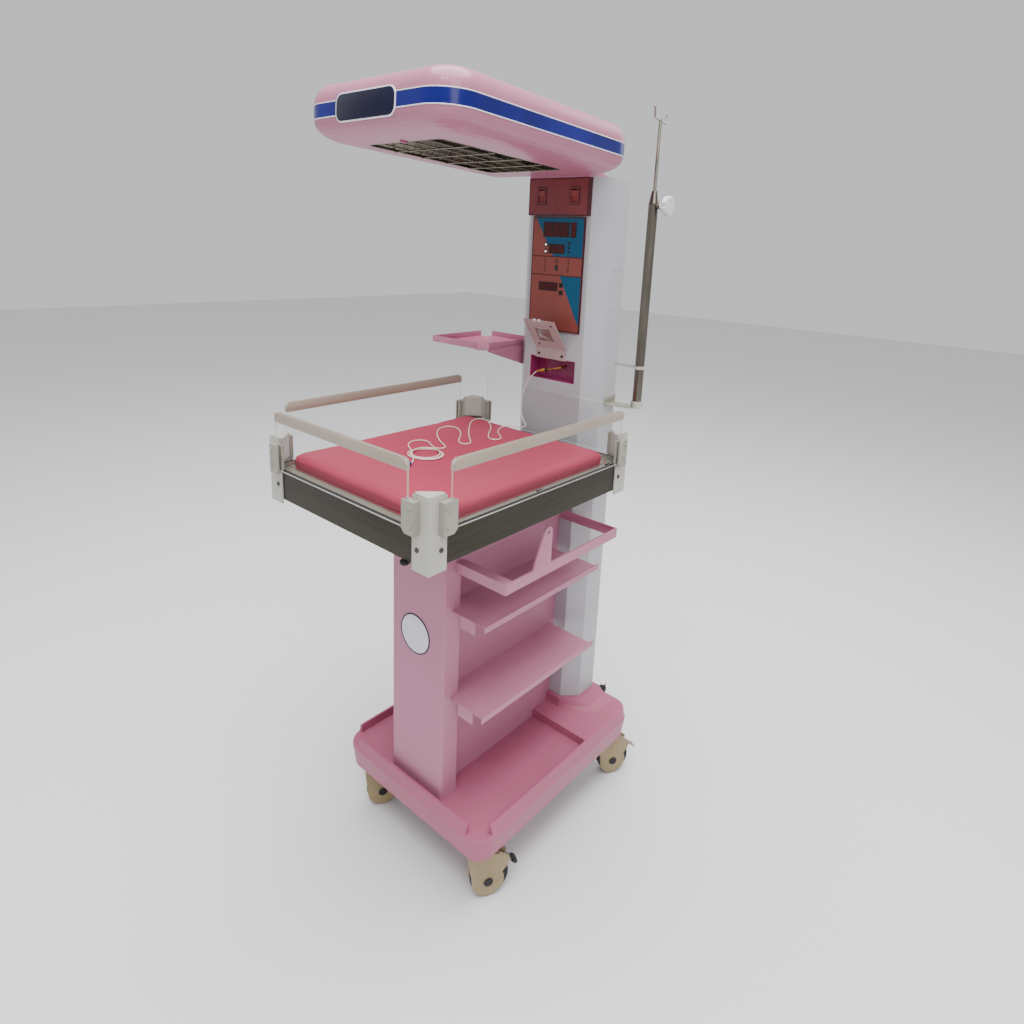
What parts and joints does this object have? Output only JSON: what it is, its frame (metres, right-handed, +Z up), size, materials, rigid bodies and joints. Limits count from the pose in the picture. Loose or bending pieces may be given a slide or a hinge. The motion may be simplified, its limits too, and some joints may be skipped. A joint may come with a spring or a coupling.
{
  "type": "infant radiant warmer",
  "caption": "Infant radiant warmer: overhead heater hood on an octagonal column, clear-sided bed, controller, pole, side tray, shelves and a moulded base on braked castors.",
  "frame": {"origin": "on the floor, under the middle of the object's box without its cords", "axes": "+Z up, +Y from the foot of the bed to the column, +X to the right seen from the foot"},
  "size_m": [0.643, 1.1417, 1.9293],
  "materials": {
    "base_plastic": "moulded, satin gloss",
    "pink_paint": "powder coat",
    "white_paint": "powder coat",
    "hood_plastic": "polished moulding",
    "stripe_blue": "gloss",
    "stainless": "brushed",
    "holder_white": "moulded",
    "clear_sheet": "clear acrylic",
    "mattress_cover": "coated fabric",
    "cream_plastic": "moulded",
    "tyre_black": "matte",
    "zinc_steel": "zinc plated",
    "panel_print": "printed film",
    "window_red": "tinted acrylic",
    "switch_red": "lit rocker",
    "switch_plate": "film on steel",
    "key_black": "matte",
    "card_plate": "powder coat",
    "magenta": "moulded",
    "pole_chrome": "polished",
    "bracket_white": "powder coat",
    "knob_white": "moulded",
    "reflector": "bright aluminium",
    "heater": "sheathed element",
    "guard_wire": "plated wire",
    "screw_steel": "pan head",
    "black_cord": "matte",
    "white_cord": "soft cable",
    "brass_plug": "turned",
    "sensor_blue": "moulded"
  },
  "bodies": {
    "root": {"base_shell": "base_plastic", "base_underframe": "zinc_steel", "front_pedestal": "pink_paint", "web_panel": "pink_paint", "shelves": "pink_paint", "utility_frame": "pink_paint", "column_shell": "white_paint", "column_rear_cover": "white_paint", "switch_box": "switch_plate", "controller_plate": "panel_print", "display_windows": "window_red", "chart_plate": "card_plate", "probe_pocket": "magenta", "side_tray": "pink_paint", "tray_gusset": "pink_paint", "iv_tube": "pole_chrome", "iv_bracket": "bracket_white", "hood_upper": "hood_plastic", "hood_lower": "hood_plastic", "hood_stripe": "stripe_blue", "hood_neck": "pink_paint", "hood_reflector": "reflector", "heater_rods": "heater", "hood_guard": "guard_wire", "corner_posts": "bracket_white", "panel_holders": "holder_white", "rear_panel": "clear_sheet", "bed_apron": "stainless", "bed_tray": "bracket_white", "mattress": "mattress_cover", "screws": "screw_steel", "mains_gland": "black_cord", "mains_cord": "black_cord", "mains_coil": "black_cord", "mains_plug": "black_cord", "probe_plug": "brass_plug", "probe_lead": "white_cord", "probe_coil": "white_cord", "probe_sensor": "sensor_blue"},
    "heater_switch": {"heater_switch": "switch_red"},
    "light_switch": {"light_switch": "switch_red"},
    "upper_key": {"upper_key": "key_black"},
    "lower_key": {"lower_key": "key_black"},
    "iv_rod": {"iv_rod": "pole_chrome"},
    "iv_knob": {"iv_knob": "knob_white"},
    "front_panel": {"front_panel": "clear_sheet"},
    "left_panel": {"left_panel": "clear_sheet"},
    "right_panel": {"right_panel": "clear_sheet"},
    "castor_front_left": {"castor_fork_front_left": "cream_plastic"},
    "wheel_front_left": {"castor_wheel_front_left": "tyre_black"},
    "pedal_front_left": {"castor_pedal_front_left": "zinc_steel"},
    "castor_front_right": {"castor_fork_front_right": "cream_plastic"},
    "wheel_front_right": {"castor_wheel_front_right": "tyre_black"},
    "pedal_front_right": {"castor_pedal_front_right": "zinc_steel"},
    "castor_rear_left": {"castor_fork_rear_left": "cream_plastic"},
    "wheel_rear_left": {"castor_wheel_rear_left": "tyre_black"},
    "pedal_rear_left": {"castor_pedal_rear_left": "zinc_steel"},
    "castor_rear_right": {"castor_fork_rear_right": "cream_plastic"},
    "wheel_rear_right": {"castor_wheel_rear_right": "tyre_black"},
    "pedal_rear_right": {"castor_pedal_rear_right": "zinc_steel"}
  },
  "joints": [
    {"name": "swivel_front_left", "type": "hinge", "parent": "root", "child": "castor_front_left", "pos_m": [-0.1795, -0.20172, 0.13], "axis": [0, 0, 1], "continuous": true},
    {"name": "roll_front_left", "type": "hinge", "parent": "castor_front_left", "child": "wheel_front_left", "pos_m": [-0.1635, -0.17401, 0.05], "axis": [0.866, -0.5, 0], "continuous": true},
    {"name": "brake_front_left", "type": "hinge", "parent": "castor_front_left", "child": "pedal_front_left", "pos_m": [-0.1495, -0.14976, 0.104], "axis": [0.866, -0.5, 0], "range_deg": [-12, 0]},
    {"name": "swivel_front_right", "type": "hinge", "parent": "root", "child": "castor_front_right", "pos_m": [0.2365, -0.20172, 0.13], "axis": [0, 0, 1], "continuous": true},
    {"name": "roll_front_right", "type": "hinge", "parent": "castor_front_right", "child": "wheel_front_right", "pos_m": [0.2525, -0.17401, 0.05], "axis": [0.866, -0.5, 0], "continuous": true},
    {"name": "brake_front_right", "type": "hinge", "parent": "castor_front_right", "child": "pedal_front_right", "pos_m": [0.2665, -0.14976, 0.104], "axis": [0.866, -0.5, 0], "range_deg": [-12, 0]},
    {"name": "swivel_rear_left", "type": "hinge", "parent": "root", "child": "castor_rear_left", "pos_m": [-0.1795, 0.35928, 0.13], "axis": [0, 0, 1], "continuous": true},
    {"name": "roll_rear_left", "type": "hinge", "parent": "castor_rear_left", "child": "wheel_rear_left", "pos_m": [-0.1635, 0.38699, 0.05], "axis": [0.866, -0.5, 0], "continuous": true},
    {"name": "brake_rear_left", "type": "hinge", "parent": "castor_rear_left", "child": "pedal_rear_left", "pos_m": [-0.1495, 0.41124, 0.104], "axis": [0.866, -0.5, 0], "range_deg": [-12, 0]},
    {"name": "swivel_rear_right", "type": "hinge", "parent": "root", "child": "castor_rear_right", "pos_m": [0.2365, 0.35928, 0.13], "axis": [0, 0, 1], "continuous": true},
    {"name": "roll_rear_right", "type": "hinge", "parent": "castor_rear_right", "child": "wheel_rear_right", "pos_m": [0.2525, 0.38699, 0.05], "axis": [0.866, -0.5, 0], "continuous": true},
    {"name": "brake_rear_right", "type": "hinge", "parent": "castor_rear_right", "child": "pedal_rear_right", "pos_m": [0.2665, 0.41124, 0.104], "axis": [0.866, -0.5, 0], "range_deg": [-12, 0]},
    {"name": "heater_switch_rock", "type": "hinge", "parent": "root", "child": "heater_switch", "pos_m": [-0.0255, 0.25578, 1.717], "axis": [1, 0, 0], "range_deg": [-16, 0]},
    {"name": "light_switch_rock", "type": "hinge", "parent": "root", "child": "light_switch", "pos_m": [0.0825, 0.25578, 1.717], "axis": [1, 0, 0], "range_deg": [-16, 0]},
    {"name": "upper_key_press", "type": "slide", "parent": "root", "child": "upper_key", "axis": [0, 1, 0], "range_m": [0, 0.0012], "stiffness_N_per_m": 400},
    {"name": "lower_key_press", "type": "slide", "parent": "root", "child": "lower_key", "axis": [0, 1, 0], "range_m": [0, 0.0012], "stiffness_N_per_m": 400},
    {"name": "rod_height", "type": "slide", "parent": "root", "child": "iv_rod", "axis": [0, 0, 1], "range_m": [-0.15, 0.24]},
    {"name": "knob_turn", "type": "hinge", "parent": "root", "child": "iv_knob", "pos_m": [0.2875, 0.36528, 1.698], "axis": [1, 0, 0], "range_deg": [-90, 180]},
    {"name": "front_panel_lift", "type": "slide", "parent": "root", "child": "front_panel", "axis": [0, 0, 1], "range_m": [0, 0.12]},
    {"name": "left_panel_lift", "type": "slide", "parent": "root", "child": "left_panel", "axis": [0, 0, 1], "range_m": [0, 0.09]},
    {"name": "right_panel_lift", "type": "slide", "parent": "root", "child": "right_panel", "axis": [0, 0, 1], "range_m": [0, 0.12]}
  ]
}
